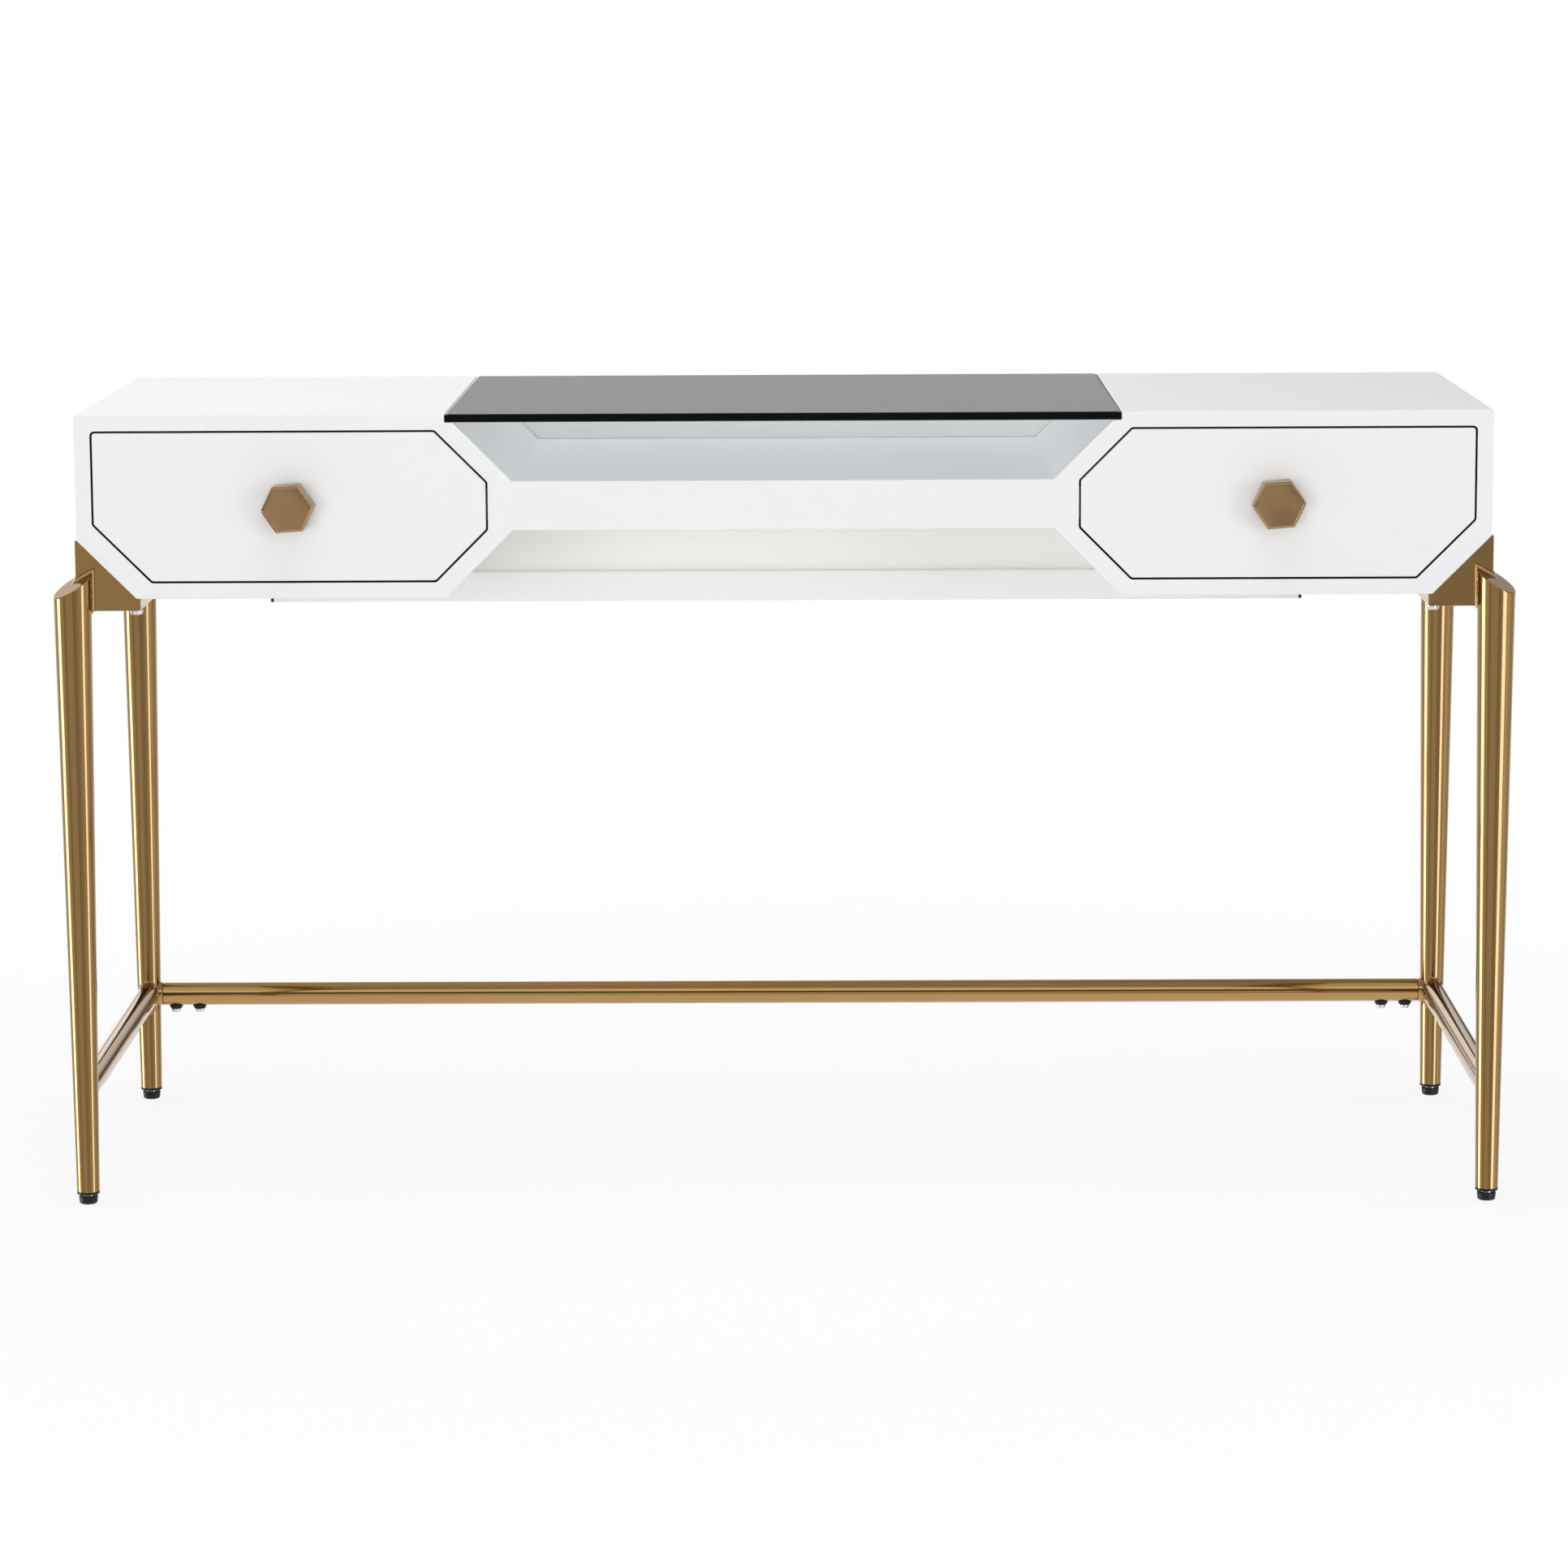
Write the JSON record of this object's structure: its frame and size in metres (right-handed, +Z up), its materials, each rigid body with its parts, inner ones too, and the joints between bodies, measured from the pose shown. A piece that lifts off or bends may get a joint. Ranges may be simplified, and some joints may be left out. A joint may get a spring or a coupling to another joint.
{
  "type": "dressing table",
  "caption": "Dressing table with cut-corner drawers either side of an open shelf, a dark glass centre top and tapered metal legs joined by stretchers.",
  "frame": {"origin": "on the floor, at the middle of the box that the whole table fills", "axes": "+Z up, the drawers open towards -Y, +X to the right seen from the front"},
  "size_m": [1.3972, 0.5121, 0.768],
  "materials": {
    "white_lacquer": "glossy white lacquer on board",
    "drawer_board": "matt white faced board",
    "dark_glass": "dark tinted glass, polished",
    "gold_metal": "polished gold plating on steel tube",
    "gold_knob": "polished",
    "white_steel": "white powder coat",
    "zinc_runner": "zinc plated",
    "bright_fastener": "bright plated",
    "black_plastic": "satin",
    "black_rubber": "matt"
  },
  "bodies": {
    "table": {"bridge_bottom": "white_lacquer", "bridge_floor": "white_lacquer", "bridge_rails": "white_lacquer", "case_backs": "drawer_board", "frame_bolts": "bright_fastener", "glass_top": "dark_glass", "left_case_bottom": "white_lacquer", "left_case_inner_lower_corner": "white_lacquer", "left_case_inner_side": "white_lacquer", "left_case_inner_upper_corner": "white_lacquer", "left_case_outer_corner": "white_lacquer", "left_case_outer_side": "white_lacquer", "left_case_runners": "zinc_runner", "left_case_top": "white_lacquer", "left_front_leg": "gold_metal", "left_rear_leg": "gold_metal", "left_side_stretcher": "gold_metal", "left_top_rail": "gold_metal", "leg_plugs": "black_plastic", "rear_stretcher": "gold_metal", "right_case_bottom": "white_lacquer", "right_case_inner_lower_corner": "white_lacquer", "right_case_inner_side": "white_lacquer", "right_case_inner_upper_corner": "white_lacquer", "right_case_outer_corner": "white_lacquer", "right_case_outer_side": "white_lacquer", "right_case_runners": "zinc_runner", "right_case_top": "white_lacquer", "right_front_leg": "gold_metal", "right_rear_leg": "gold_metal", "right_side_stretcher": "gold_metal", "right_top_rail": "gold_metal", "shelf_back": "white_lacquer", "stiffener_caps": "black_plastic", "stiffener_screws": "bright_fastener", "stiffener_tube": "white_steel", "stretcher_bolts": "bright_fastener", "stretcher_spigots": "gold_metal", "stretcher_washers": "black_rubber", "web_panel": "white_lacquer"},
    "left_drawer": {"left_drawer_front": "white_lacquer", "left_drawer_sides": "drawer_board", "left_drawer_bottom": "drawer_board", "left_drawer_back": "drawer_board", "left_drawer_runners": "zinc_runner", "left_knob": "gold_knob", "left_knob_screw": "bright_fastener"},
    "left_middle_slides": {"left_middle_runners": "zinc_runner"},
    "left_front_leveller": {"left_front_foot": "black_plastic"},
    "left_rear_leveller": {"left_rear_foot": "black_plastic"},
    "right_drawer": {"right_drawer_front": "white_lacquer", "right_drawer_sides": "drawer_board", "right_drawer_bottom": "drawer_board", "right_drawer_back": "drawer_board", "right_drawer_runners": "zinc_runner", "right_knob": "gold_knob", "right_knob_screw": "bright_fastener"},
    "right_middle_slides": {"right_middle_runners": "zinc_runner"},
    "right_front_leveller": {"right_front_foot": "black_plastic"},
    "right_rear_leveller": {"right_rear_foot": "black_plastic"}
  },
  "joints": [
    {"name": "left_drawer_slide", "type": "slide", "parent": "table", "child": "left_drawer", "axis": [0, -1, 0], "range_m": [0, 0.4]},
    {"name": "left_middle_slide", "type": "slide", "parent": "table", "child": "left_middle_slides", "axis": [0, -1, 0], "range_m": [0, 0.2]},
    {"name": "right_drawer_slide", "type": "slide", "parent": "table", "child": "right_drawer", "axis": [0, -1, 0], "range_m": [0, 0.4]},
    {"name": "right_middle_slide", "type": "slide", "parent": "table", "child": "right_middle_slides", "axis": [0, -1, 0], "range_m": [0, 0.2]},
    {"name": "left_front_foot_turn", "type": "hinge", "parent": "table", "child": "left_front_leveller", "pos_m": [-0.6805, -0.23513, 0.01], "axis": [0, 0, 1], "continuous": true},
    {"name": "left_rear_foot_turn", "type": "hinge", "parent": "table", "child": "left_rear_leveller", "pos_m": [-0.6805, 0.23788, 0.01], "axis": [0, 0, 1], "continuous": true},
    {"name": "right_front_foot_turn", "type": "hinge", "parent": "table", "child": "right_front_leveller", "pos_m": [0.6805, -0.23513, 0.01], "axis": [0, 0, 1], "continuous": true},
    {"name": "right_rear_foot_turn", "type": "hinge", "parent": "table", "child": "right_rear_leveller", "pos_m": [0.6805, 0.23788, 0.01], "axis": [0, 0, 1], "continuous": true}
  ],
  "couplings": [
    {"joint": "left_middle_slide", "follows": "left_drawer_slide", "ratio": 0.5},
    {"joint": "right_middle_slide", "follows": "right_drawer_slide", "ratio": 0.5}
  ]
}
